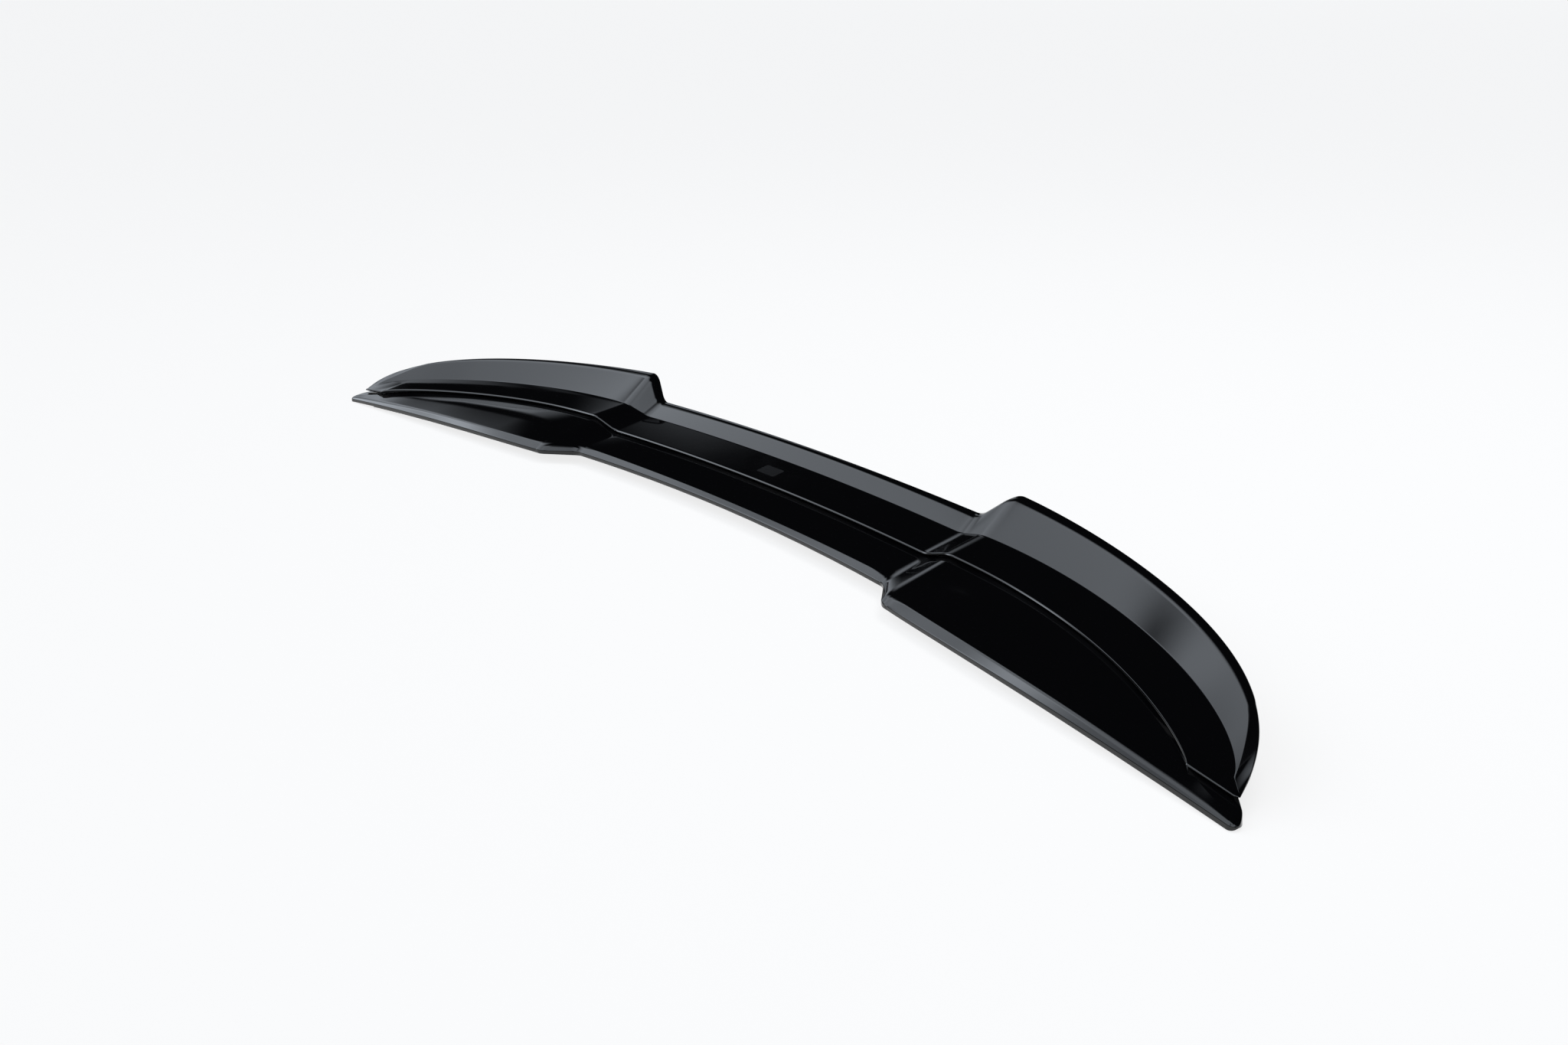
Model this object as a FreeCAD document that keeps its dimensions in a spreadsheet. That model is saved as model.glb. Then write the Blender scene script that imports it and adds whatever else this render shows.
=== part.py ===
"""Two-tier boot-lid spoiler: a base moulding, the extension moulding on it and their bonding tapes."""
import FreeCAD
import Part
import Sketcher
import os

# Sizes in millimetres: X to the side, Y rearward, Z up from the bonding face
SIZES = {
    "base_half": 660,
    "step_inner": 241,
    "step_run": 44,
    "tip_inset": 10,
    "bed_tail": 42,
    "fold_tail": 12,
    "crest_run_on": 2,
    "wall": 3.5,
    "nose": 1.2,
    "crest_edge": 2.5,
    "rim_height": 3.5,
    "rear_draft": 1.5,
    "skin": 3.2,
    "foot": 14,
    "bond_gap": 1.2,
    "tape_thick": 0.8,
    "tape_wide": 10,
    "tape_inset": 2,
    "deck_tip_y": -91,
    "deck_tip_z": -4.6,
    "rear_tip_y": -87,
    "rear_tip_z": -4.2,
}

# Depth and height of each leading line at the centre, the two edges of the step, the tip and its end
PLACES = ("mid", "inner", "outer", "tip", "end")
LINES = {
    "front": ((0, 4.7), (-13.5, 3.6), (-43.5, 2.8), (-97.5, -8)),
    "bevel": ((5.5, 7.7), (-6.5, 8.3), (-35.5, 8.8), (-96, -6)),
    "seam": ((39, 24), (34, 20), (29.3, 29.7), (-77.5, 8.5), (-81, 3.4)),
    "fold": ((80.5, 32.5), (75.5, 28.3), (69.8, 36.1), (-70, 8.8), (-79.3, 3.5)),
    "crest": ((102.5, 45.8), (101.5, 41), (112.5, 64.5), (-77.5, 3)),
}
for line_name, spots in LINES.items():
    for spot, (depth, height) in zip(PLACES, spots):
        SIZES[f"{line_name}_{spot}_y"] = depth
        SIZES[f"{line_name}_{spot}_z"] = height

# How each line falls away from the step to the tip: two powers for depth, two for height
SWEEP = {
    "front": ((0.9, 1.0), (2.3, 1.0)),
    "bevel": ((0.9, 1.0), (2.6, 1.0)),
    "seam": ((1.99, 0.91), (0.88, 0.6)),
    "fold": ((1.88, 0.79), (1.12, 0.53)),
    "crest": ((1.39, 0.484), (0.88, 0.108)),
}

# Shares that set the section: the crest's front crease, the base's deck under the extension, the tip's wall
CREASE = (0.72, 0.95)
TIP_CREASE = (0.35, 0.8)
DECK_SHARE, REAR_SHARE = 0.06, 0.85
TIP_WALL = 0.55

# Share of the step's run that its rounded foot and its rounded head each take
STEP_ROUND = 0.22

# Marks along the span, as lengths and as expressions of the same cells
SIDE = {
    "centre": 0,
    "step_inner": SIZES["step_inner"],
    "step_outer": SIZES["step_inner"] + SIZES["step_run"],
    "bed_end": SIZES["base_half"] - SIZES["tip_inset"] - SIZES["bed_tail"],
    "extension_end": SIZES["base_half"] - SIZES["tip_inset"],
    "base_end": SIZES["base_half"],
}
MARK = {
    "centre": "0",
    "step_inner": "Dims.step_inner",
    "step_outer": "(Dims.step_inner + Dims.step_run)",
    "bed_end": "(Dims.base_half - Dims.tip_inset - Dims.bed_tail)",
    "extension_end": "(Dims.base_half - Dims.tip_inset)",
    "base_end": "Dims.base_half",
}
STOP = {
    "front": SIDE["base_end"],
    "bevel": SIDE["base_end"],
    "seam": SIDE["bed_end"],
    "fold": SIDE["extension_end"] - SIZES["fold_tail"],
    "crest": SIDE["extension_end"],
}

# Runs of sections between two marks, with the shares where a section lies
CENTRE_RUN = ("centre", "step_inner", (0.0, 0.5, 1.0))
STEP_RUN = ("step_inner", "step_outer", (0.0, 0.12, 0.26, 0.5, 0.74, 0.88, 1.0))
BED_RUN = ("step_outer", "bed_end", (0.0, 0.22, 0.45, 0.67, 0.84, 0.94, 1.0))
HOLLOW_RUN = ("step_outer", "bed_end", (0.0, 0.22, 0.45, 0.67, 0.84))
BASE_TAIL = ("bed_end", "base_end", (0.0, 0.25, 0.5, 0.72, 0.88, 1.0))
EXTENSION_TAIL = ("bed_end", "extension_end", (0.0, 0.2, 0.4, 0.57, 0.715, 0.83, 0.92, 0.97, 1.0))

doc = FreeCAD.newDocument("SpoilerExtension")
sheet = doc.addObject("Spreadsheet::Sheet", "Dims")
for row, (alias, value) in enumerate(SIZES.items(), start=1):
    sheet.set(f"A{row}", alias)
    sheet.set(f"B{row}", str(value))
    sheet.setAlias(f"B{row}", alias)
doc.recompute()


def toward(start, end, share):
    """Expression that lies a share of the way from one expression to another."""
    return f"({start} + ({end} - {start}) * {share:.5f})"


def between(name, start, end, shares):
    """Depth and height of a leading line between two of its places."""
    return [
        toward(f"Dims.{name}_{start}_{axis}", f"Dims.{name}_{end}_{axis}", share)
        for axis, share in zip("yz", shares)
    ]


def ramp(run):
    """Rise of the step over its run: straight, with a rounded foot and head."""
    slope = 1 / (1 - STEP_ROUND)
    if run < STEP_ROUND:
        return slope * run ** 2 / (2 * STEP_ROUND)
    if run > 1 - STEP_ROUND:
        return 1 - slope * (1 - run) ** 2 / (2 * STEP_ROUND)
    return slope * (run - STEP_ROUND / 2)


def fall(run, powers):
    """Share of the way that a line has fallen from the step to its tip."""
    bend, fullness = powers
    return 1 - max(1 - run ** bend, 0.0) ** fullness


def along(name, side):
    """Depth and height expressions of a leading line at a distance to the side."""
    inner, outer, stop = SIDE["step_inner"], SIDE["step_outer"], STOP[name]
    if side <= inner:
        share = (side / inner) ** 2
        return between(name, "mid", "inner", (share, share))
    if side <= outer:
        share = ramp((side - inner) / (outer - inner))
        return between(name, "inner", "outer", (share, share))
    if side <= stop:
        reach = stop + SIZES["crest_run_on"] if name == "crest" else stop
        run, whole = [(spot - outer) / (reach - outer) for spot in (side, stop)]
        return between(name, "outer", "tip", [fall(run, powers) / fall(whole, powers) for powers in SWEEP[name]])
    share = min((side - stop) / (SIDE["extension_end"] - stop), 1.0)
    return between(name, "tip", "end", (share, share))


def past_bed(side, end):
    """Share of the way from the end of the bonded bed to an end of the part."""
    return max((side - SIDE["bed_end"]) / (SIDE[end] - SIDE["bed_end"]), 0.0)


def thin(side, size):
    """A size of the sheet, which thins out past the bonded bed."""
    return f"(Dims.{size} * {1 - (1 - TIP_WALL) * past_bed(side, 'extension_end'):.5f})"


def underside(side):
    """Front and rear ends of the extension deck's lower face."""
    seam_y, seam_z = along("seam", side)
    fold_y, fold_z = along("fold", side)
    wall = thin(side, "wall")
    return (seam_y, f"({seam_z} - {wall})"), (f"({fold_y} + {wall} * 0.4)", f"({fold_z} - {wall} * 0.93)")


def bed(side, share, lift="0"):
    """Point of the base deck under the extension, a share of the way to the fold."""
    front, rear = underside(side)
    depth = toward(front[0], rear[0], share)
    height = toward(front[1], rear[1], share)
    return depth, f"({height} - Dims.bond_gap + {lift})"


def base_deck(side):
    """Top of the base's slope at the seam, which bends in to the base's own tip past the bed."""
    depth, height = bed(min(side, SIDE["bed_end"]), DECK_SHARE)
    past = past_bed(side, "base_end")
    return toward(depth, "Dims.deck_tip_y", 1 - (1 - past) ** 1.7), toward(height, "Dims.deck_tip_z", past)


def base_rear(side):
    """Rear edge of the base's deck, which sinks to the base's own tip past the bed."""
    depth, height = bed(min(side, SIDE["bed_end"]), REAR_SHARE)
    past = past_bed(side, "base_end")
    return toward(depth, "Dims.rear_tip_y", past), toward(height, "Dims.rear_tip_z", past ** 1.3)


def extension_profile(side):
    """Bent sheet from the seam edge over the fold to the rolled crest."""
    seam_y, seam_z = along("seam", side)
    fold_y, fold_z = along("fold", side)
    crest_y, crest_z = along("crest", side)
    front, rear = underside(side)
    nose, edge = thin(side, "nose"), thin(side, "crest_edge")
    edge_y = f"({crest_y} - ({crest_y} - {fold_y}) * 0.06 - {edge} * 0.2)"
    edge_z = f"({crest_z} - ({crest_z} - {fold_z}) * 0.25 - {edge})"
    past = past_bed(side, "extension_end")
    crease = [start + (end - start) * past for start, end in zip(CREASE, TIP_CREASE)]
    return [
        front,
        (seam_y, f"({seam_z} - {nose})"),
        (f"({seam_y} + {nose})", seam_z),
        (fold_y, fold_z),
        (toward(fold_y, crest_y, crease[0]), toward(fold_z, crest_z, crease[1])),
        (crest_y, crest_z),
        (edge_y, edge_z),
        rear,
    ]


def base_profile(side):
    """Low wedge with a front rim, a bevel, a deck and an upright rear face."""
    front_y, front_z = along("front", side)
    foot_z = f"({front_z} - Dims.rim_height)"
    rear_y, rear_z = base_rear(side)
    return [
        (front_y, foot_z),
        (front_y, front_z),
        along("bevel", side),
        base_deck(side),
        (rear_y, rear_z),
        (f"({rear_y} + Dims.rear_draft)", foot_z),
    ]


def hollow_profile(side):
    """Open space under the base between its front foot and its rear foot."""
    front_y, front_z = along("front", side)
    below_z = f"({front_z} - Dims.rim_height * 2)"
    deck_y, deck_z = base_deck(side)
    rear_y, rear_z = base_rear(side)
    return [
        (f"({front_y} + Dims.foot)", below_z),
        (f"({deck_y} + Dims.skin * 0.6)", f"({deck_z} - Dims.skin)"),
        (f"({rear_y} - Dims.skin * 1.5)", f"({rear_z} - Dims.skin)"),
        (f"({rear_y} - Dims.foot)", below_z),
    ]


def deck_tape_profile(side, start, end):
    """Strip of tape between the base deck and the extension."""
    slack = "(Dims.bond_gap - Dims.tape_thick) / 2"
    return [
        bed(side, start, slack),
        bed(side, end, slack),
        bed(side, end, f"{slack} + Dims.tape_thick"),
        bed(side, start, f"{slack} + Dims.tape_thick"),
    ]


def front_deck_tape(side):
    """Deck tape behind the seam edge."""
    return deck_tape_profile(side, 0.08, 0.32)


def rear_deck_tape(side):
    """Deck tape ahead of the base's rear edge."""
    return deck_tape_profile(side, 0.6, 0.82)


def lid_tape_profile(side, edge):
    """Strip of tape under the base, behind a given front edge."""
    foot_z = f"({along('front', side)[1]} - Dims.rim_height)"
    top = f"({foot_z} - (Dims.bond_gap - Dims.tape_thick) / 2)"
    bottom = f"({foot_z} - Dims.bond_gap)"
    near = f"({edge} + Dims.tape_inset)"
    far = f"({near} + Dims.tape_wide)"
    return [(near, bottom), (far, bottom), (far, top), (near, top)]


def front_lid_tape(side):
    """Lid tape under the front foot."""
    return lid_tape_profile(side, along("front", side)[0])


def rear_lid_tape(side):
    """Lid tape under the rear foot."""
    return lid_tape_profile(side, f"({base_rear(side)[0]} - Dims.foot)")


def centre_plane(body):
    """A body's own plane across the span."""
    return next(item for item in body.Origin.OriginFeatures if item.Role == "YZ_Plane")


def section(body, name, place, points):
    """Closed sketch across the part, its corners bound to the sheet."""
    sketch = body.newObject("Sketcher::SketchObject", name)
    sketch.AttachmentSupport = [(centre_plane(body), "")]
    sketch.MapMode = "FlatFace"
    sketch.setExpression("AttachmentOffset.Base.z", place)
    count = len(points)
    for corner in range(count):
        start = FreeCAD.Vector(corner, corner ** 2, 0)
        end = FreeCAD.Vector(corner + 1, (corner + 1) ** 2, 0)
        sketch.addGeometry(Part.LineSegment(start, end))
    for corner in range(count):
        sketch.addConstraint(Sketcher.Constraint("Coincident", corner, 2, (corner + 1) % count, 1))
    for corner, point in enumerate(points):
        for kind, expression in zip(("DistanceX", "DistanceY"), point):
            index = sketch.addConstraint(Sketcher.Constraint(kind, -1, 1, corner, 1, 1.0))
            sketch.setExpression(f"Constraints[{index}]", expression)
    return sketch


def half_lofts(body, tag, profile, runs, kind):
    """Row of lofts from the centre plane to one tip, each starting on the section where the last one ends."""
    lofts = []
    last = None
    for start, end, shares in runs:
        sketches = [last] if last else []
        for share in shares[len(sketches):]:
            side = SIDE[start] + (SIDE[end] - SIDE[start]) * share
            place = toward(MARK[start], MARK[end], share)
            name = f"{tag}_{start}_{round(share * 100)}"
            sketches.append(section(body, name, place, profile(side)))
        feature = body.newObject(kind, f"{tag}_{start}_loft")
        feature.Profile = sketches[0]
        feature.Sections = sketches[1:]
        feature.Ruled = start == "bed_end"
        lofts.append(feature)
        last = sketches[-1]
    return lofts


def moulding(name, profile, runs, hollow=None):
    """Body of lofted halves, mirrored across the centre plane."""
    body = doc.addObject("PartDesign::Body", name)
    body.Label = name
    features = half_lofts(body, "solid", profile, runs, "PartDesign::AdditiveLoft")
    if hollow:
        hollow_runs = (CENTRE_RUN, STEP_RUN, HOLLOW_RUN)
        features += half_lofts(body, "hollow", hollow, hollow_runs, "PartDesign::SubtractiveLoft")
    mirrored = body.newObject("PartDesign::Mirrored", f"{name}_mirrored")
    mirrored.Originals = features
    mirrored.MirrorPlane = (centre_plane(body), [""])
    body.Tip = mirrored
    return body


# The two mouldings, then the bonding tapes under the extension and under the base
BONDED = (CENTRE_RUN, STEP_RUN, BED_RUN)
pieces = [
    moulding("base", base_profile, BONDED + (BASE_TAIL,), hollow_profile),
    moulding("extension", extension_profile, BONDED + (EXTENSION_TAIL,)),
    moulding("deck_tape_front", front_deck_tape, BONDED),
    moulding("deck_tape_rear", rear_deck_tape, BONDED),
    moulding("lid_tape_front", front_lid_tape, BONDED),
    moulding("lid_tape_rear", rear_lid_tape, BONDED),
]
doc.recompute()

# Check and write
os.makedirs("parts", exist_ok=True)
for item in doc.Objects:
    if "Invalid" in item.State or "Error" in item.State:
        raise RuntimeError(f"{item.Name} failed: {item.State}")
for piece in pieces:
    shape = piece.Shape
    if shape.isNull() or not shape.isValid():
        raise RuntimeError(f"{piece.Label} has no valid shape")
    shape.exportStep(f"parts/{piece.Label}.step")
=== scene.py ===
"""Two-tier boot-lid spoiler in gloss black: base, extension, bonding tapes and a bare label.

The part's sizes are in millimetres, and the studio's in metres and degrees.
"""
import logging
import math
from dataclasses import dataclass, field
from enum import Enum

import bmesh
import bpy
import numpy as np
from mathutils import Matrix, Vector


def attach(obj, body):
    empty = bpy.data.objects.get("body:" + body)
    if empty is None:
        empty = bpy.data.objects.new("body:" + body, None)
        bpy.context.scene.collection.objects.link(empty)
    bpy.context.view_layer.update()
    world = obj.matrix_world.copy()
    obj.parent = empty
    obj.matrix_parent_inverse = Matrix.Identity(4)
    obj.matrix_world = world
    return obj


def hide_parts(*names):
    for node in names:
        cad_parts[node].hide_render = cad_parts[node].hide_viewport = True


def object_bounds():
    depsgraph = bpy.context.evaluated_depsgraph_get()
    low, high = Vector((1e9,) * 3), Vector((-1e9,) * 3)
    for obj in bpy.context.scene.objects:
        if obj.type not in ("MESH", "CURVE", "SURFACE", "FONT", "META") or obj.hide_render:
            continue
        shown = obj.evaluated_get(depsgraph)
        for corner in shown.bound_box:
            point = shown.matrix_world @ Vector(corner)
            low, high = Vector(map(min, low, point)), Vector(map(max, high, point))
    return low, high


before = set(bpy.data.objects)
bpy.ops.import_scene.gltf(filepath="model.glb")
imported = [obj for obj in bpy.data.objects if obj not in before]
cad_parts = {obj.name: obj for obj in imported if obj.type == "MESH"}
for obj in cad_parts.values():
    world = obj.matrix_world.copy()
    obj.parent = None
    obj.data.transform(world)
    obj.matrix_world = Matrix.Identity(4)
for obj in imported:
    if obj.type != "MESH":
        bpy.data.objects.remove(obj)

MM = 0.001
LOG = logging.getLogger("spoiler")
CAD_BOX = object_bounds()

# How corners of a section are rounded: the share of a run that one corner may take, the shortest run in
# millimetres, the least turn in radians that gets an arc, and the cosine at which an angle is held.
RUN_SHARE = 0.45
LEAST_RUN = 1e-6
LEAST_TURN = 0.01
STRAIGHT = 0.99999


class Lead(Enum):
    """Leading lines that run along the span and carry the sections."""

    FRONT = "front"
    BEVEL = "bevel"
    SEAM = "seam"
    FOLD = "fold"
    CREST = "crest"


def clamp(value: float, low: float = 0.0, high: float = 1.0) -> float:
    """Keep a value between two limits."""
    return min(max(value, low), high)


def smooth(share: float) -> float:
    """Ease a share in and out, kept between 0 and 1."""
    share = clamp(share)
    return share ** 2 * (3 - 2 * share)


def hex_linear(code: str) -> tuple[float, float, float, float]:
    """Turn an sRGB hex colour into linear RGBA.

    Args:
        code: Six hex digits after a hash sign.

    Returns:
        Linear red, green and blue with full alpha.
    """
    parts = [int(code[place:place + 2], 16) / 255 for place in (1, 3, 5)]
    linear = [part / 12.92 if part <= 0.04045 else ((part + 0.055) / 1.055) ** 2.4 for part in parts]
    return linear[0], linear[1], linear[2], 1.0


def add_node(
    tree: bpy.types.NodeTree, kind: str, inputs: dict | None = None, **settings: object,
) -> bpy.types.Node:
    """Add a node, give it its settings, and set or link its inputs.

    Args:
        tree: Node tree that gets the node.
        kind: Blender's type name of the node.
        inputs: Values or output sockets by input name or number.
        settings: Properties of the node.

    Returns:
        The new node.
    """
    node = tree.nodes.new(kind)
    for name, value in settings.items():
        setattr(node, name, value)
    for key, value in (inputs or {}).items():
        if isinstance(value, bpy.types.NodeSocket):
            tree.links.new(value, node.inputs[key])
        else:
            node.inputs[key].default_value = value
    return node


def new_material(name: str) -> tuple[bpy.types.Material, bpy.types.NodeTree]:
    """Make an empty node material.

    Args:
        name: The material's name.

    Returns:
        The material and its node tree.
    """
    material = bpy.data.materials.new(name)
    material.use_nodes = True
    material.node_tree.nodes.clear()
    return material, material.node_tree


def add_object(name: str, data: bpy.types.ID) -> bpy.types.Object:
    """Make an object of its data and put it into the scene.

    Args:
        name: The object's name.
        data: Mesh, lamp or camera.

    Returns:
        The new object.
    """
    made = bpy.data.objects.new(name, data)
    bpy.context.scene.collection.objects.link(made)
    return made


def add_piece(name: str, mesh: bpy.types.Mesh) -> bpy.types.Object:
    """Put a finished mesh into the scene as a piece of the part.

    Args:
        name: The piece's name.
        mesh: Mesh in the part's own place.

    Returns:
        The piece, on the part's only body.
    """
    piece = add_object(name, mesh)
    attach(piece, "root")
    LOG.info("%s: %d faces", name, len(mesh.polygons))
    return piece


@dataclass(frozen=True)
class GlossAbs:
    """Injection-moulded ABS with a polished mould face: deep black that shows only what it mirrors.

    A faint waviness from the moulding softens long reflections, and handling leaves duller patches.
    """

    colour: str = "#050506"
    ior: float = 1.5
    roughness: tuple[float, float] = (0.045, 0.085)
    wave_mm: float = 9.0
    wave_deep_mm: float = 0.05
    wave_strength: float = 0.05
    wave_detail: float = 1.0
    haze_mm: float = 38.0
    haze_range: tuple[float, float] = (0.35, 0.7)
    haze_detail: float = 4.0

    def material(self) -> bpy.types.Material:
        """Build the gloss-black moulding material.

        Returns:
            The material.
        """
        material, tree = new_material("abs_gloss_black")
        place = add_node(tree, "ShaderNodeTexCoord").outputs["Object"]
        haze = add_node(tree, "ShaderNodeTexNoise", {
            "Vector": place, "Scale": 1 / (self.haze_mm * MM), "Detail": self.haze_detail})
        dull = add_node(tree, "ShaderNodeMapRange", {
            "Value": haze.outputs["Fac"], "From Min": self.haze_range[0], "From Max": self.haze_range[1],
            "To Min": self.roughness[0], "To Max": self.roughness[1]})
        wave = add_node(tree, "ShaderNodeTexNoise", {
            "Vector": place, "Scale": 1 / (self.wave_mm * MM), "Detail": self.wave_detail})
        bump = add_node(tree, "ShaderNodeBump", {
            "Height": wave.outputs["Fac"], "Strength": self.wave_strength,
            "Distance": self.wave_deep_mm * MM})
        shader = add_node(tree, "ShaderNodeBsdfPrincipled", {
            "Base Color": hex_linear(self.colour), "IOR": self.ior, "Roughness": dull.outputs["Result"],
            "Normal": bump.outputs["Normal"]})
        add_node(tree, "ShaderNodeOutputMaterial", {"Surface": shader.outputs["BSDF"]})
        return material


@dataclass(frozen=True)
class FoamTape:
    """Closed-cell acrylic foam tape, cut from a sheet: matt near-black with an open, speckled edge."""

    dark: str = "#141415"
    light: str = "#2a2a2c"
    roughness: float = 0.92
    cell_mm: float = 1.2
    cell_deep_mm: float = 0.2
    cell_strength: float = 0.4

    def material(self) -> bpy.types.Material:
        """Build the foam material, its cells drawn about twice as coarse as real ones so that they show.

        Returns:
            The material.
        """
        material, tree = new_material("acrylic_foam_tape")
        place = add_node(tree, "ShaderNodeTexCoord").outputs["Object"]
        cells = add_node(tree, "ShaderNodeTexVoronoi", {"Vector": place, "Scale": 1 / (self.cell_mm * MM)})
        tone = add_node(tree, "ShaderNodeMix", {
            "Factor": cells.outputs["Distance"], "A": hex_linear(self.dark), "B": hex_linear(self.light)},
            data_type="RGBA")
        bump = add_node(tree, "ShaderNodeBump", {
            "Height": cells.outputs["Distance"], "Strength": self.cell_strength,
            "Distance": self.cell_deep_mm * MM})
        shader = add_node(tree, "ShaderNodeBsdfPrincipled", {
            "Base Color": tone.outputs["Result"], "Roughness": self.roughness,
            "Normal": bump.outputs["Normal"]})
        add_node(tree, "ShaderNodeOutputMaterial", {"Surface": shader.outputs["BSDF"]})
        return material


@dataclass(frozen=True)
class LabelVinyl:
    """Cast vinyl film with a satin laminate: as black as the moulding, but duller and finely grained."""

    colour: str = "#08080a"
    ior: float = 1.46
    roughness: float = 0.2
    grain_mm: float = 0.8
    grain_deep_mm: float = 0.02
    grain_strength: float = 0.1
    grain_detail: float = 2.0

    def material(self) -> bpy.types.Material:
        """Build the satin film material.

        Returns:
            The material.
        """
        material, tree = new_material("vinyl_film_satin")
        place = add_node(tree, "ShaderNodeTexCoord").outputs["Object"]
        grain = add_node(tree, "ShaderNodeTexNoise", {
            "Vector": place, "Scale": 1 / (self.grain_mm * MM), "Detail": self.grain_detail})
        bump = add_node(tree, "ShaderNodeBump", {
            "Height": grain.outputs["Fac"], "Strength": self.grain_strength,
            "Distance": self.grain_deep_mm * MM})
        shader = add_node(tree, "ShaderNodeBsdfPrincipled", {
            "Base Color": hex_linear(self.colour), "IOR": self.ior, "Roughness": self.roughness,
            "Normal": bump.outputs["Normal"]})
        add_node(tree, "ShaderNodeOutputMaterial", {"Surface": shader.outputs["BSDF"]})
        return material


@dataclass(frozen=True)
class PaleFloor:
    """Matt white studio floor that the camera sees as white and that keeps a soft shadow."""

    colour: str = "#f2f2f2"
    white: str = "#ffffff"
    glow: float = 0.8

    def material(self) -> bpy.types.Material:
        """Build the floor material, partly white of itself to what looks at it.

        Returns:
            The material.
        """
        material, tree = new_material("studio_floor_white")
        path = add_node(tree, "ShaderNodeLightPath")
        seen = add_node(tree, "ShaderNodeMath", {
            0: path.outputs["Is Camera Ray"], 1: path.outputs["Is Glossy Ray"]}, operation="ADD")
        seen = add_node(tree, "ShaderNodeMath", {
            0: seen.outputs[0], 1: path.outputs["Is Transmission Ray"]}, operation="ADD", use_clamp=True)
        share = add_node(tree, "ShaderNodeMath", {0: seen.outputs[0], 1: self.glow}, operation="MULTIPLY")
        matt = add_node(tree, "ShaderNodeBsdfDiffuse", {"Color": hex_linear(self.colour)})
        white = add_node(tree, "ShaderNodeEmission", {"Color": hex_linear(self.white), "Strength": 1.0})
        both = add_node(tree, "ShaderNodeMixShader", {
            0: share.outputs[0], 1: matt.outputs["BSDF"], 2: white.outputs["Emission"]})
        add_node(tree, "ShaderNodeOutputMaterial", {"Surface": both.outputs["Shader"]})
        return material


@dataclass(frozen=True)
class Span:
    """Distances along the span from the centre plane."""

    base_half: float = 660.0
    step_inner: float = 241.0
    step_run: float = 44.0
    tip_inset: float = 10.0
    bed_tail: float = 42.0

    @property
    def step_outer(self) -> float:
        """Outer edge of the step."""
        return self.step_inner + self.step_run

    @property
    def extension_end(self) -> float:
        """End of the extension."""
        return self.base_half - self.tip_inset

    @property
    def bed_end(self) -> float:
        """End of the bed that carries the extension."""
        return self.extension_end - self.bed_tail

    def ramp(self, side: float, soft: float) -> float:
        """Rise of the step as a share: straight, with a foot and a head rounded over a share of the run.

        Args:
            side: Distance from the centre plane.
            soft: Share of the run that each rounding takes.

        Returns:
            Share of the rise, from 0 to 1.
        """
        run = (side - self.step_inner) / self.step_run
        slope = 1 / (1 - soft)
        if run < soft:
            return slope * run ** 2 / (2 * soft)
        if run > 1 - soft:
            return 1 - slope * (1 - run) ** 2 / (2 * soft)
        return slope * (run - soft / 2)

    def past_bed(self, side: float, end: float) -> float:
        """Share of the way from the end of the bed to an end of the part."""
        return max((side - self.bed_end) / (end - self.bed_end), 0.0)


@dataclass(frozen=True)
class LeadLine:
    """One leading line: depth and height at the centre, the step's two edges, the tip and the very end.

    The powers say how depth and height fall away from the step to the tip, and soft how round the step is.
    The tip lies short of the base's end, and run_on is how far past the tip its curve would go on.
    """

    mid: tuple[float, float]
    inner: tuple[float, float]
    outer: tuple[float, float]
    tip: tuple[float, float]
    depth_powers: tuple[float, float]
    height_powers: tuple[float, float]
    soft: float
    end: tuple[float, float] | None = None
    short: float = 0.0
    run_on: float = 0.0

    def at(self, side: float, span: Span) -> np.ndarray:
        """Find the line's depth and height.

        Args:
            side: Distance from the centre plane.
            span: Distances along the span.

        Returns:
            Depth and height.
        """
        mid, inner, outer, tip = (
            np.array(place, dtype=float) for place in (self.mid, self.inner, self.outer, self.tip))
        stop = span.base_half - self.short
        if side <= span.step_inner:
            return mid + (inner - mid) * (side / span.step_inner) ** 2
        if side <= span.step_outer:
            return inner + (outer - inner) * span.ramp(side, self.soft)
        if side <= stop or self.end is None:
            reach = stop + self.run_on - span.step_outer
            run, whole = ((min(spot, stop) - span.step_outer) / reach for spot in (side, stop))
            shares = [
                (1 - (1 - run ** bend) ** fullness) / (1 - (1 - whole ** bend) ** fullness)
                for bend, fullness in (self.depth_powers, self.height_powers)
            ]
            return outer + (tip - outer) * np.array(shares)
        share = min((side - stop) / (span.extension_end - stop), 1.0)
        return tip + (np.array(self.end, dtype=float) - tip) * share


LINES: dict[Lead, LeadLine] = {
    Lead.FRONT: LeadLine(
        mid=(0, 4.7), inner=(-13.5, 3.6), outer=(-43.5, 2.8), tip=(-97.5, -8),
        depth_powers=(0.9, 1.0), height_powers=(2.3, 1.0), soft=0.32),
    Lead.BEVEL: LeadLine(
        mid=(5.5, 7.7), inner=(-6.5, 8.3), outer=(-35.5, 8.8), tip=(-96, -6),
        depth_powers=(0.9, 1.0), height_powers=(2.6, 1.0), soft=0.32),
    Lead.SEAM: LeadLine(
        mid=(39, 24), inner=(34, 20), outer=(29.3, 29.7), tip=(-77.5, 8.5), end=(-81, 3.4),
        depth_powers=(1.99, 0.91), height_powers=(0.88, 0.6), soft=0.35, short=52),
    Lead.FOLD: LeadLine(
        mid=(80.5, 32.5), inner=(75.5, 28.3), outer=(69.8, 36.1), tip=(-70, 8.8), end=(-79.3, 3.5),
        depth_powers=(1.88, 0.79), height_powers=(1.12, 0.53), soft=0.34, short=22),
    Lead.CREST: LeadLine(
        mid=(102.5, 45.8), inner=(101.5, 41), outer=(112.5, 64.5), tip=(-77.5, 3),
        depth_powers=(1.39, 0.484), height_powers=(0.88, 0.108), soft=0.36, short=10, run_on=2),
}


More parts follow.
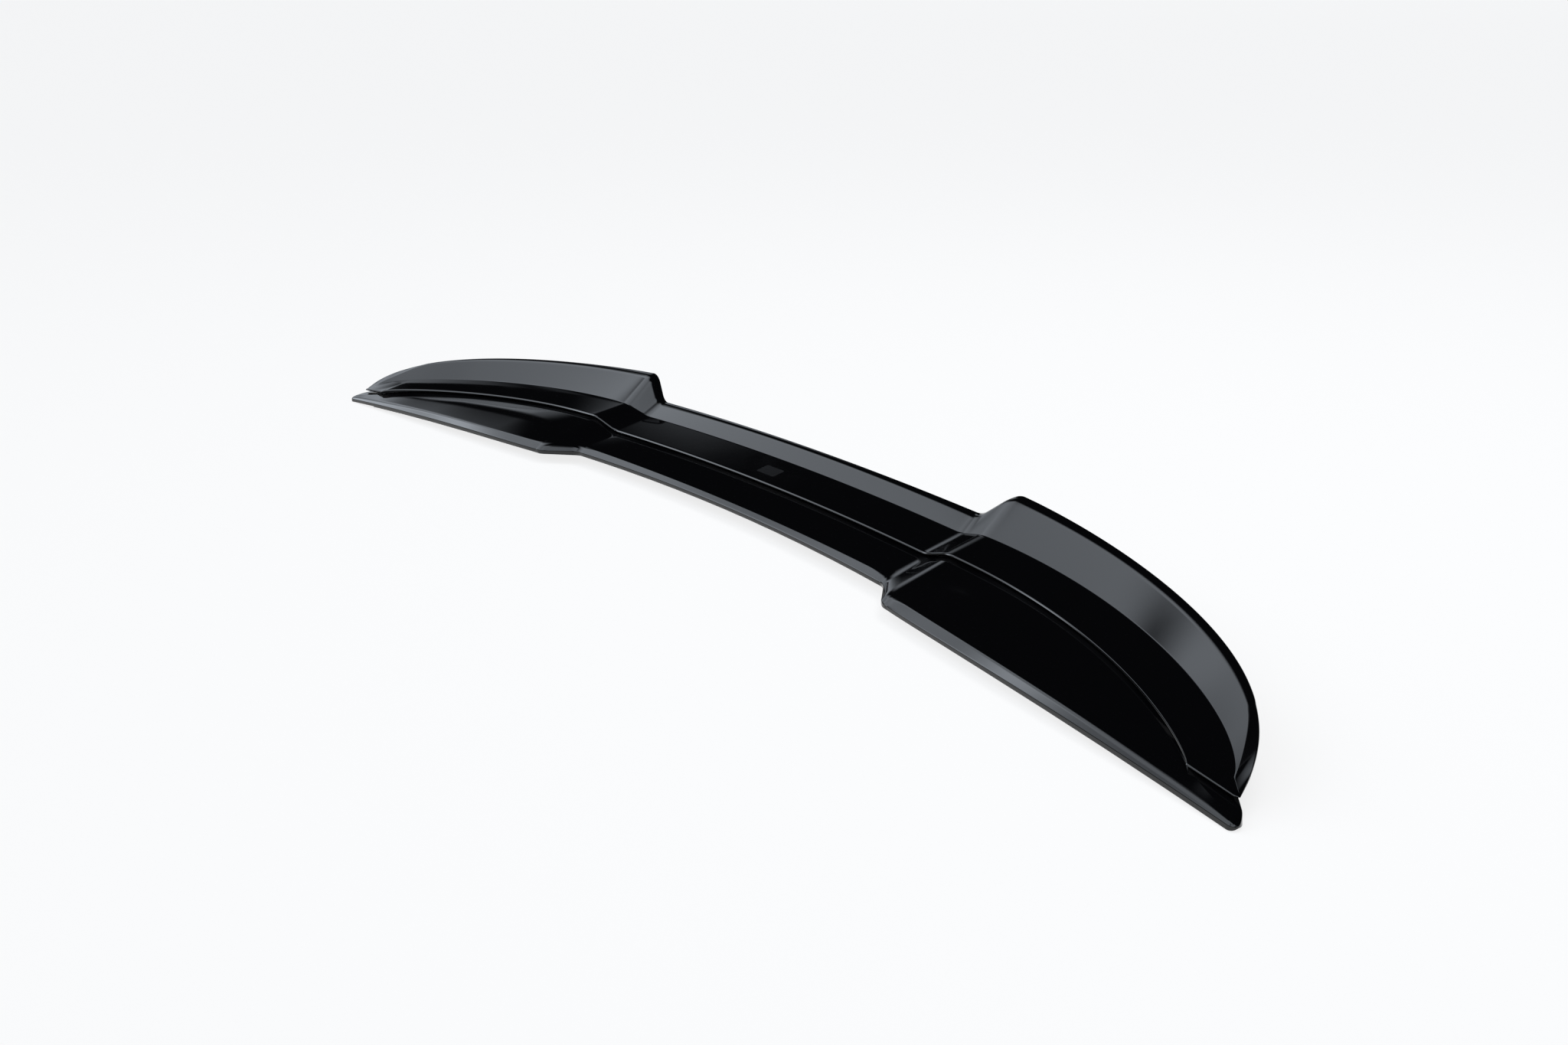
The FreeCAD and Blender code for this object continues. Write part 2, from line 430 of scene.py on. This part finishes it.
@dataclass(frozen=True)
class Corner:
    """One corner of a section, with its radius and the number of points inside the run after it.

    A corner with a stretch is blended instead, and the blend runs on that many times further past it.
    """

    place: np.ndarray | tuple[float, float]
    radius: float
    points: int
    stretch: float | None = None


def corner_arc(corner: Corner, back: np.ndarray, ahead: np.ndarray, steps: int) -> np.ndarray:
    """Round one corner of a section, with its radius cut down where a run is short.

    Args:
        corner: The corner.
        back: Run from the corner to the one before it.
        ahead: Run from the corner to the one after it.
        steps: Divisions of the rounding.

    Returns:
        Points of the rounding, from the run before to the run after.
    """
    place = np.array(corner.place, dtype=float)
    back_length, ahead_length = (max(float(np.hypot(*run)), LEAST_RUN) for run in (back, ahead))
    back, ahead = back / back_length, ahead / ahead_length
    opening = math.acos(float(np.clip(back @ ahead, -STRAIGHT, STRAIGHT)))
    reach = min(corner.radius / math.tan(opening / 2), RUN_SHARE * back_length, RUN_SHARE * ahead_length)
    start, end = place + back * reach, place + ahead * reach
    turn = math.pi - opening
    shares = np.linspace(0, 1, steps + 1)[:, None]
    if corner.stretch is not None:
        end = place + ahead * min(reach * corner.stretch, RUN_SHARE * ahead_length)
        return (1 - shares) ** 2 * start + 2 * shares * (1 - shares) * place + shares ** 2 * end
    if turn < LEAST_TURN:
        return np.linspace(start, end, steps + 1)
    inward = (back + ahead) / np.hypot(*(back + ahead))
    centre = place + inward * reach / math.cos(opening / 2)
    spokes = np.sin((1 - shares) * turn) * (start - centre) + np.sin(shares * turn) * (end - centre)
    return centre + spokes / math.sin(turn)


def rounded_loop(corners: list[Corner], steps: int) -> np.ndarray:
    """Round the corners of a closed section and divide its straight runs.

    Args:
        corners: Corners in order.
        steps: Divisions of each rounded corner.

    Returns:
        Points of the closed loop, always the same number.
    """
    places = np.array([corner.place for corner in corners], dtype=float)
    backs = np.roll(places, 1, axis=0) - places
    aheads = np.roll(places, -1, axis=0) - places
    arcs = [corner_arc(corner, back, ahead, steps) for corner, back, ahead in zip(corners, backs, aheads)]
    loop = []
    for corner, arc, after in zip(corners, arcs, arcs[1:] + arcs[:1]):
        start, end = arc[-1], after[0]
        shares = 0.5 - 0.5 * np.cos(np.pi * np.arange(1, corner.points + 1) / (corner.points + 1))
        loop.extend([arc, start + (end - start) * shares[:, None]])
    return np.concatenate(loop)


@dataclass
class SweptMoulding:
    """A moulding whose section changes along the span, the same on both sides of the centre plane."""

    name: str
    node: str
    nose_round: float
    steps: int
    span: Span = field(default_factory=Span)
    fine: dict[str, int] = field(default_factory=lambda: {"centre": 56, "step": 56, "bed": 130, "tail": 56})
    merge: float = 0.002

    @property
    def half(self) -> float:
        """Distance of the tip from the centre plane; each moulding has its own."""
        raise NotImplementedError

    def loop(self, side: float) -> np.ndarray:
        """Section at a distance from the centre plane; each moulding has its own."""
        raise NotImplementedError

    def line(self, lead: Lead, side: float) -> np.ndarray:
        """Depth and height of a leading line at a distance from the centre plane."""
        return LINES[lead].at(side, self.span)

    def sides(self) -> np.ndarray:
        """Place the sections from the centre plane to the tip, closer together where the form turns.

        Returns:
            Distances from the centre plane.
        """
        span = self.span
        centre = np.linspace(0, span.step_inner, self.fine["centre"], endpoint=False)
        step = np.linspace(span.step_inner, span.step_outer, self.fine["step"], endpoint=False)
        bed = np.linspace(span.step_outer, span.bed_end, self.fine["bed"], endpoint=False)
        turn = np.linspace(0, math.pi / 2, self.fine["tail"])
        tail = span.bed_end + (self.half - span.bed_end) * np.sin(turn)
        return np.concatenate([centre, step, bed, tail])

    def closed_section(self, side: float) -> np.ndarray:
        """Draw the section in to its middle where the end is rounded off.

        Args:
            side: Distance from the centre plane.

        Returns:
            Points of the section, depth and height.
        """
        loop = self.loop(side)
        left = (self.half - side) / self.nose_round
        if left >= 1:
            return loop
        middle = loop.mean(axis=0)
        return middle + (loop - middle) * math.sqrt(max(1 - (1 - left) ** 2, 0.0))

    def build(self, material: bpy.types.Material) -> bpy.types.Object:
        """Sweep the sections into one closed skin that stands for the solid.

        Args:
            material: Finish of the moulding.

        Returns:
            The finished piece.
        """
        rows = [(side, self.closed_section(side)) for side in self.sides()]
        rows = [(-side, loop) for side, loop in rows[:0:-1]] + rows
        size = len(rows[0][1])
        points = [(side * MM, y * MM, z * MM) for side, loop in rows for y, z in loop]
        quads = [
            (row * size + spot, row * size + (spot + 1) % size,
             (row + 1) * size + (spot + 1) % size, (row + 1) * size + spot)
            for row in range(len(rows) - 1) for spot in range(size)
        ]
        mesh = bpy.data.meshes.new(self.name)
        mesh.from_pydata(points, [], quads)
        work = bmesh.new()
        work.from_mesh(mesh)
        bmesh.ops.remove_doubles(work, verts=work.verts, dist=self.merge * MM)
        bmesh.ops.recalc_face_normals(work, faces=work.faces)
        work.to_mesh(mesh)
        work.free()
        mesh.shade_smooth()
        mesh.materials.append(material)
        piece = add_piece(self.name, mesh)
        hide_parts(self.node)
        return piece


@dataclass
class Extension(SweptMoulding):
    """Bent sheet from the rounded seam edge over the fold to the rolled crest.

    The nose is the seam's lower edge. The crease lies between the fold and the crest, as shares of the rise,
    and the edge ends the rolled crest at the back.
    """

    name: str = "extension_skin"
    node: str = "extension"
    nose_round: float = 4.0
    steps: int = 8
    wall: float = 3.5
    tip_wall: float = 0.55
    fold_shift: tuple[float, float] = (0.4, -0.93)
    undercut: float = 1.6
    nose: tuple[float, float] = (-0.8, -1.3)
    crease: tuple[float, float] = (0.68, 0.945)
    wing_crease: tuple[float, float] = (0.75, 0.95)
    crease_soft: float = 0.3
    least_crease: float = 0.02
    lip_end: float = 32.0
    lip_power: float = 1.5
    crest_edge: float = 2.5
    edge_back: tuple[float, float] = (0.06, 0.25)
    edge_lean: float = 0.2
    tip_sag: float = 2.0
    under_round: float = 0.6
    nose_edge_round: float = 0.25
    seam_round: float = 2.4
    seam_stretch: float = 2.2
    fold_round: float = 3.5
    crease_round: float = 14.0
    tip_crease_round: float = 0.5
    crest_round: float = 1.6
    tip_change: float = 3.0
    edge_round: float = 1.0
    inner_round: float = 7.0

    @property
    def half(self) -> float:
        """Distance of the extension's tip from the centre plane."""
        return self.span.extension_end

    def thin(self, side: float) -> float:
        """Share of its thickness that the sheet keeps, which falls past the bonded bed."""
        return 1 - (1 - self.tip_wall) * self.span.past_bed(side, self.half)

    def underside(self, side: float) -> tuple[np.ndarray, np.ndarray]:
        """Find the two ends of the deck's lower face.

        Args:
            side: Distance from the centre plane.

        Returns:
            Depth and height of the front end and of the rear end.
        """
        sheet = self.wall * self.thin(side)
        front = self.line(Lead.SEAM, side) - (0, sheet)
        rear = self.line(Lead.FOLD, side) + np.array(self.fold_shift) * sheet
        return front, rear

    def crease_share(self, side: float, left: float) -> np.ndarray:
        """Find where the crease lies between the fold and the crest.

        Args:
            side: Distance from the centre plane.
            left: Share of the lip that is left.

        Returns:
            Shares of the lip's depth and of its height.
        """
        on_step = clamp(side, self.span.step_inner, self.span.step_outer)
        step = self.span.ramp(on_step, self.crease_soft)
        share = np.array(self.crease) + np.subtract(self.wing_crease, self.crease) * step
        return share * max(left, self.least_crease)

    def loop(self, side: float) -> np.ndarray:
        """Draw the rounded section of the bent sheet.

        Args:
            side: Distance from the centre plane.

        Returns:
            Points of the section, depth and height.
        """
        seam, fold, crest = (self.line(lead, side) for lead in (Lead.SEAM, Lead.FOLD, Lead.CREST))
        front, rear = self.underside(side)
        rise = crest - fold
        thin = self.thin(side)
        rim = self.crest_edge * thin
        past = self.span.past_bed(side, self.half)
        left = 1 - clamp((side - self.span.bed_end) / self.lip_end) ** self.lip_power
        crease = fold + rise * self.crease_share(side, left)
        sag = rim + self.tip_sag * past * (1 - past)
        edge = crest - rise * self.edge_back - (self.edge_lean * rim, sag)
        return rounded_loop([
            Corner(front + (self.undercut, 0), self.under_round, points=1),
            Corner(seam + np.array(self.nose) * thin, self.nose_edge_round, points=1),
            Corner(seam, self.seam_round, points=12, stretch=self.seam_stretch),
            Corner(fold, self.fold_round - self.tip_change * past, points=14),
            Corner(crease, self.crease_round * left + self.tip_crease_round, points=6),
            Corner(crest, self.crest_round + self.tip_change * past, points=2),
            Corner(edge, self.edge_round, points=5),
            Corner(rear, self.inner_round, points=5),
        ], self.steps)


@dataclass
class Base(SweptMoulding):
    """Low open-bottomed moulding with a front rim, a bevel, a deck and an upright rear face.

    The shares of the bed run from the seam to the fold, and the crown's rise and fall are shares of the wing.
    """

    name: str = "base_skin"
    node: str = "base"
    nose_round: float = 6.0
    steps: int = 6
    rim_height: float = 3.5
    rim_round: float = 1.6
    bevel_round: float = 3.0
    tip_bevel_round: float = 7.0
    step_flare: float = 20.0
    flare_stretch: float = 2.0
    crown: float = 0.05
    crown_rise: float = 0.25
    crown_fall: float = 0.4
    crown_round: float = 90.0
    deck_round: float = 0.8
    rear_round: float = 1.0
    foot_round: float = 0.6
    roof_round: float = 1.5
    rear_draft: float = 1.5
    skin: float = 3.2
    roof_front_shift: float = 0.6
    roof_rear_shift: float = 1.5
    foot: float = 14.0
    bond_gap: float = 1.2
    deck_share: float = 0.06
    rear_share: float = 0.85
    hollow_share: float = 0.84
    hollow_wall: float = 0.02
    floor_shares: tuple[float, ...] = (0.8, 0.6, 0.4, 0.2)
    deck_tip: tuple[float, float] = (-91.0, -4.6)
    deck_power: float = 1.7
    rear_tip: tuple[float, float] = (-87.0, -4.2)
    rear_power: float = 1.3
    cover: Extension = field(default_factory=Extension)

    @property
    def half(self) -> float:
        """Distance of the base's tip from the centre plane."""
        return self.span.base_half

    def bed(self, side: float, share: float) -> np.ndarray:
        """Point of the deck under the extension, a share of the way from the seam to the fold."""
        front, rear = self.cover.underside(min(side, self.span.bed_end))
        return front + (rear - front) * share - (0, self.bond_gap)

    def deck(self, side: float) -> np.ndarray:
        """Find the top of the slope at the seam, which bends in to the base's own tip past the bed.

        Args:
            side: Distance from the centre plane.

        Returns:
            Depth and height.
        """
        past = self.span.past_bed(side, self.half)
        start = self.bed(side, self.deck_share)
        return start + (self.deck_tip - start) * (1 - (1 - past) ** self.deck_power, past)

    def rear(self, side: float) -> np.ndarray:
        """Find the rear edge of the deck, which sinks to the base's own tip past the bed.

        Args:
            side: Distance from the centre plane.

        Returns:
            Depth and height.
        """
        past = self.span.past_bed(side, self.half)
        start = self.bed(side, self.rear_share)
        return start + (self.rear_tip - start) * (past, past ** self.rear_power)

    def crown_point(self, side: float, bevel: np.ndarray, deck: np.ndarray) -> np.ndarray:
        """Find the middle of the slope, which swells a little over the wings.

        Args:
            side: Distance from the centre plane.
            bevel: Lower end of the slope.
            deck: Upper end of the slope.

        Returns:
            Depth and height.
        """
        run = (side - self.span.step_outer) / (self.span.bed_end - self.span.step_outer)
        swell = self.crown * smooth(run / self.crown_rise) * smooth((1 - run) / self.crown_fall)
        along = deck - bevel
        return bevel + 0.5 * along + swell * np.array((-along[1], along[0]))

    def bevel_edge(self, side: float) -> float:
        """Size the bevel's upper edge, which flares where the step crosses it and grows to the tip.

        Args:
            side: Distance from the centre plane.

        Returns:
            Radius of the edge.
        """
        out = max(side - self.span.step_outer, 0.0) / (self.half - self.span.step_outer)
        grown = self.bevel_round + (self.tip_bevel_round - self.bevel_round) * out
        return grown + self.step_flare * self.near_step(side)

    def near_step(self, side: float) -> float:
        """One in the middle of the step, fading to nothing on both sides of it."""
        middle = self.span.step_inner + 0.5 * self.span.step_run
        return max(1 - ((side - middle) / self.span.step_run) ** 2, 0.0) ** 2

    def hollow_end(self) -> float:
        """Distance from the centre plane at which the hollow under the base stops."""
        return self.span.step_outer + (self.span.bed_end - self.span.step_outer) * self.hollow_share

    def sides(self) -> np.ndarray:
        """Place the sections, with one on each side of the thin wall where the hollow ends.

        Returns:
            Distances from the centre plane.
        """
        stop = self.hollow_end()
        wall = [stop - 0.5 * self.hollow_wall, stop + 0.5 * self.hollow_wall]
        return np.sort(np.concatenate([super().sides(), wall]))

    def belly(self, side: float, front: np.ndarray, deck: np.ndarray, rear: np.ndarray) -> list[np.ndarray]:
        """Find the inner corners of the section: the hollow between the feet, or a plain floor past its end.

        Args:
            side: Distance from the centre plane.
            front: Front edge of the section.
            deck: Top of the slope.
            rear: Rear edge of the deck.

        Returns:
            Four corners, from the rear to the front.
        """
        floor = front[1] - self.rim_height
        if side >= self.hollow_end():
            width = rear[0] + self.rear_draft - front[0]
            return [np.array((front[0] + width * share, floor)) for share in self.floor_shares]
        roof_front = deck + (self.roof_front_shift * self.skin, -self.skin)
        roof_rear = rear - (self.roof_rear_shift * self.skin, self.skin)
        # Each wall of the hollow leans towards a point one rim height below the floor and stops at the floor.
        mouths = []
        for depth, roof in ((rear[0] - self.foot, roof_rear), (front[0] + self.foot, roof_front)):
            aim = np.array((depth, floor - self.rim_height))
            mouths.append(aim + (roof - aim) * self.rim_height / (roof[1] - aim[1]))
        return [mouths[0], roof_rear, roof_front, mouths[1]]

    def loop(self, side: float) -> np.ndarray:
        """Draw the rounded section with the hollow between the front foot and the rear foot.

        Args:
            side: Distance from the centre plane.

        Returns:
            Points of the section, depth and height.
        """
        front, bevel = self.line(Lead.FRONT, side), self.line(Lead.BEVEL, side)
        deck, rear = self.deck(side), self.rear(side)
        floor = front[1] - self.rim_height
        crown = self.crown_point(side, bevel, deck)
        rear_mouth, roof_rear, roof_front, front_mouth = self.belly(side, front, deck, rear)
        stretch = 1 + self.flare_stretch * self.near_step(side)
        return rounded_loop([
            Corner((front[0], floor), self.foot_round, points=1),
            Corner(front, self.rim_round, points=4),
            Corner(bevel, self.bevel_edge(side), points=5, stretch=stretch),
            Corner(crown, self.crown_round, points=5),
            Corner(deck, self.deck_round, points=5),
            Corner(rear, self.rear_round, points=3),
            Corner((rear[0] + self.rear_draft, floor), self.foot_round, points=2),
            Corner(rear_mouth, self.foot_round, points=3),
            Corner(roof_rear, self.roof_round, points=3),
            Corner(roof_front, self.roof_round, points=3),
            Corner(front_mouth, self.foot_round, points=2),
        ], self.steps)


@dataclass
class Label:
    """Bare film label that lies on the extension's deck at the centre plane."""

    name: str = "label_film"
    length: float = 27.0
    width: float = 14.0
    corner: float = 1.5
    corner_points: int = 6
    film: float = 0.15
    depth: float = 58.0
    drop: float = 200.0
    merge: float = 0.01

    def tree(self) -> bpy.types.NodeTree:
        """Build the tree that drops a rounded film onto a surface.

        Returns:
            Geometry node tree with named inputs for the film's sizes, place and carrier.
        """
        tree = bpy.data.node_groups.new("film_on_surface", "GeometryNodeTree")
        for name, kind in (
            ("Carrier", "NodeSocketObject"), ("Length", "NodeSocketFloat"), ("Width", "NodeSocketFloat"),
            ("Corner", "NodeSocketFloat"), ("Film", "NodeSocketFloat"), ("Place", "NodeSocketVector"),
            ("Finish", "NodeSocketMaterial"),
        ):
            tree.interface.new_socket(name, in_out="INPUT", socket_type=kind)
        tree.interface.new_socket("Geometry", in_out="OUTPUT", socket_type="NodeSocketGeometry")
        given = add_node(tree, "NodeGroupInput").outputs
        outline = add_node(tree, "GeometryNodeCurvePrimitiveQuadrilateral", {
            "Width": given["Length"], "Height": given["Width"]})
        soft = add_node(tree, "GeometryNodeFilletCurve", {
            "Curve": outline.outputs["Curve"], "Count": self.corner_points, "Radius": given["Corner"]},
            mode="POLY")
        sheet = add_node(tree, "GeometryNodeFillCurve", {"Curve": soft.outputs["Curve"]}, mode="TRIANGLES")
        above = add_node(tree, "GeometryNodeTransform", {
            "Geometry": sheet.outputs["Mesh"], "Translation": given["Place"]})
        carrier = add_node(tree, "GeometryNodeObjectInfo", {
            "Object": given["Carrier"]}, transform_space="RELATIVE")
        ray = add_node(tree, "GeometryNodeRaycast", {
            "Target Geometry": carrier.outputs["Geometry"], "Ray Direction": (0.0, 0.0, -1.0),
            "Ray Length": 1.0})
        laid = add_node(tree, "GeometryNodeSetPosition", {
            "Geometry": above.outputs["Geometry"], "Position": ray.outputs["Hit Position"]})
        thick = add_node(tree, "GeometryNodeExtrudeMesh", {
            "Mesh": laid.outputs["Geometry"], "Offset": (0.0, 0.0, 1.0), "Offset Scale": given["Film"],
            "Individual": False})
        back = add_node(tree, "GeometryNodeFlipFaces", {"Mesh": laid.outputs["Geometry"]})
        both = add_node(tree, "GeometryNodeJoinGeometry")
        for layer in (thick, back):
            tree.links.new(layer.outputs["Mesh"], both.inputs["Geometry"])
        closed = add_node(tree, "GeometryNodeMergeByDistance", {
            "Geometry": both.outputs["Geometry"], "Distance": self.merge * MM})
        real = add_node(tree, "GeometryNodeRealizeInstances", {"Geometry": closed.outputs["Geometry"]})
        dressed = add_node(tree, "GeometryNodeSetMaterial", {
            "Geometry": real.outputs["Geometry"], "Material": given["Finish"]})
        add_node(tree, "NodeGroupOutput", {"Geometry": dressed.outputs["Geometry"]})
        return tree

    def build(self, carrier: bpy.types.Object, material: bpy.types.Material) -> bpy.types.Object:
        """Lay the label on the deck.

        Args:
            carrier: The piece that the label sticks to.
            material: Finish of the film.

        Returns:
            The finished piece.
        """
        maker = add_object("label_maker", bpy.data.meshes.new("label_maker"))
        modifier = maker.modifiers.new("film", "NODES")
        modifier.node_group = self.tree()
        values = {
            "Carrier": carrier, "Length": self.length * MM, "Width": self.width * MM,
            "Corner": self.corner * MM, "Film": self.film * MM,
            "Place": (0.0, self.depth * MM, self.drop * MM), "Finish": material}
        for socket in modifier.node_group.interface.items_tree:
            if socket.in_out == "INPUT":
                modifier[socket.identifier] = values[socket.name]
        view = bpy.context.evaluated_depsgraph_get()
        mesh = bpy.data.meshes.new_from_object(maker.evaluated_get(view))
        maker.modifiers.remove(modifier)
        bpy.data.objects.remove(maker)
        mesh.name = self.name
        return add_piece(self.name, mesh)


@dataclass
class Tapes:
    """Foam tape strips, kept as the solids give them."""

    nodes: tuple[str, ...] = ("deck_tape_front", "deck_tape_rear", "lid_tape_front", "lid_tape_rear")

    def dress(self, material: bpy.types.Material) -> None:
        """Give the strips their foam.

        Args:
            material: Finish of the tapes.
        """
        for node in self.nodes:
            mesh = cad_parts[node].data
            mesh.materials.clear()
            mesh.materials.append(material)
            LOG.info("%s: dressed", node)


@dataclass(frozen=True)
class SoftBox:
    """A soft light far from the part, placed by its edges; a level below zero makes it a dark card.

    Turns run from the part's far end towards its rear, and rises run up from the floor.
    """

    turns: tuple[float, float]
    rises: tuple[float, float]
    soft: float
    level: float

    def add(
        self, tree: bpy.types.NodeTree, turn: bpy.types.NodeSocket, rise: bpy.types.NodeSocket,
        light: bpy.types.NodeSocket | float,
    ) -> bpy.types.NodeSocket:
        """Add the box's light to what the room already gives.

        Args:
            tree: Node tree of the world.
            turn: Direction round the part, in radians.
            rise: Direction above the floor, in radians.
            light: Strength so far.

        Returns:
            Strength with this box.
        """
        share: bpy.types.NodeSocket | float = self.level
        for value, (low, high) in ((turn, self.turns), (rise, self.rises)):
            for edge, soft in ((low, self.soft), (high, -self.soft)):
                fade = add_node(tree, "ShaderNodeMapRange", {
                    "Value": value, "From Min": math.radians(edge - soft),
                    "From Max": math.radians(edge + soft)}, interpolation_type="SMOOTHSTEP")
                share = add_node(tree, "ShaderNodeMath", {
                    0: share, 1: fade.outputs["Result"]}, operation="MULTIPLY").outputs[0]
        return add_node(tree, "ShaderNodeMath", {0: light, 1: share}, operation="ADD").outputs[0]


@dataclass
class Studio:
    """Pale floor, dark room with soft boxes round the front, an overhead lamp and the camera."""

    floor_reach: float = 60.0
    floor_rise: float = 4.8
    floor_flat: float = 0.6
    floor_spokes: int = 64
    floor_rings: int = 7
    lamp_size: float = 1.6
    lamp_watts: float = 30.0
    lamp_place: tuple[float, float, float] = (0.4, 0.5, 2.6)
    eye: tuple[float, float, float] = (1.1295, -0.8032, 0.4624)
    pitch: float = 71.05
    heading: float = 52.15
    lens_mm: float = 35.0
    sensor_mm: float = 36.0
    sight: float = 500.0
    dusk: float = 0.004
    box_colour: str = "#e9f1fb"
    boxes: tuple[SoftBox, ...] = (
        SoftBox((-95, 5), (22, 54), 7.5, 2.15),
        SoftBox((-130, -32), (54, 72), 6.0, 2.2),
        SoftBox((-33, -24), (15, 33), 5.0, 2.9),
        SoftBox((-37, -24), (13, 21), 3.5, 2.2),
        SoftBox((4, 14), (7, 31), 4.0, 1.1),
        SoftBox((15, 28), (5, 15), 4.0, 1.0),
        SoftBox((27, 36), (16, 25), 4.0, 0.8),
        SoftBox((-10.5, -6), (10, 33), 2.5, -1.7),
        SoftBox((-173, -103), (22, 54), 7.5, 2.0),
        SoftBox((160, 173), (7, 31), 4.0, 1.1),
    )

    def build_floor(self, low: float) -> None:
        """Lay the floor under the part, flat at first and sweeping up into a low cove far away.

        Args:
            low: Height of the part's lowest point.
        """
        count = self.floor_spokes
        points = [(0.0, 0.0, low)]
        for share in np.linspace(0, 1, self.floor_rings):
            reach = self.floor_reach * (self.floor_flat + (1 - self.floor_flat) * share)
            height = low + self.floor_rise * share ** 2
            for spot in range(count):
                angle = math.tau * spot / count
                points.append((reach * math.cos(angle), reach * math.sin(angle), height))
        faces = [(0, 1 + spot, 1 + (spot + 1) % count) for spot in range(count)]
        for ring in range(self.floor_rings - 1):
            inner, outer = 1 + ring * count, 1 + (ring + 1) * count
            for spot in range(count):
                after = (spot + 1) % count
                faces.append((inner + spot, outer + spot, outer + after, inner + after))
        mesh = bpy.data.meshes.new("studio_floor")
        mesh.from_pydata(points, [], faces)
        mesh.shade_smooth()
        mesh.materials.append(PaleFloor().material())
        floor = add_object("studio_floor", mesh)

    def build_world(self) -> None:
        """Light the room: dark all round but for the soft boxes."""
        world = bpy.data.worlds.new("dark_room")
        bpy.context.scene.world = world
        world.use_nodes = True
        tree = world.node_tree
        tree.nodes.clear()
        toward = add_node(tree, "ShaderNodeTexCoord").outputs["Generated"]
        parts = add_node(tree, "ShaderNodeSeparateXYZ", {"Vector": toward}).outputs
        far = add_node(tree, "ShaderNodeMath", {0: parts["X"], 1: -1.0}, operation="MULTIPLY").outputs[0]
        turn = add_node(tree, "ShaderNodeMath", {0: parts["Y"], 1: far}, operation="ARCTAN2").outputs[0]
        rise = add_node(tree, "ShaderNodeMath", {0: parts["Z"]}, operation="ARCSINE").outputs[0]
        light: bpy.types.NodeSocket | float = self.dusk
        for box in self.boxes:
            light = box.add(tree, turn, rise, light)
        light = add_node(tree, "ShaderNodeMath", {0: light, 1: 0.0}, operation="MAXIMUM").outputs[0]
        glow = add_node(tree, "ShaderNodeBackground", {
            "Color": hex_linear(self.box_colour), "Strength": light})
        add_node(tree, "ShaderNodeOutputWorld", {"Surface": glow.outputs["Background"]})

    def build_lamp(self) -> None:
        """Hang a broad lamp overhead, for the floor and its shadow."""
        lamp = bpy.data.lights.new("overhead_lamp", "AREA")
        lamp.shape = "DISK"
        lamp.size = self.lamp_size
        lamp.energy = self.lamp_watts
        holder = add_object("overhead_lamp", lamp)
        holder.location = self.lamp_place
        holder.visible_glossy = False

    def build_camera(self) -> None:
        """Stand the camera where the picture was taken from."""
        camera = bpy.data.cameras.new("studio_camera")
        camera.lens = self.lens_mm
        camera.sensor_width = self.sensor_mm
        camera.clip_end = self.sight
        holder = add_object("studio_camera", camera)
        holder.location = self.eye
        holder.rotation_euler = (math.radians(self.pitch), 0.0, math.radians(self.heading))
        bpy.context.scene.camera = holder


def main() -> None:
    """Build the pieces in order, then the room round them."""
    logging.basicConfig(level=logging.INFO, format="%(name)s %(message)s")
    gloss = GlossAbs().material()
    extension = Extension().build(gloss)
    Base().build(gloss)
    Label().build(extension, LabelVinyl().material())
    Tapes().dress(FoamTape().material())
    studio = Studio()
    studio.build_floor(CAD_BOX[0][2])
    studio.build_world()
    studio.build_lamp()
    studio.build_camera()
    bpy.context.scene.view_settings.view_transform = "Standard"


if __name__ == "__main__":
    main()
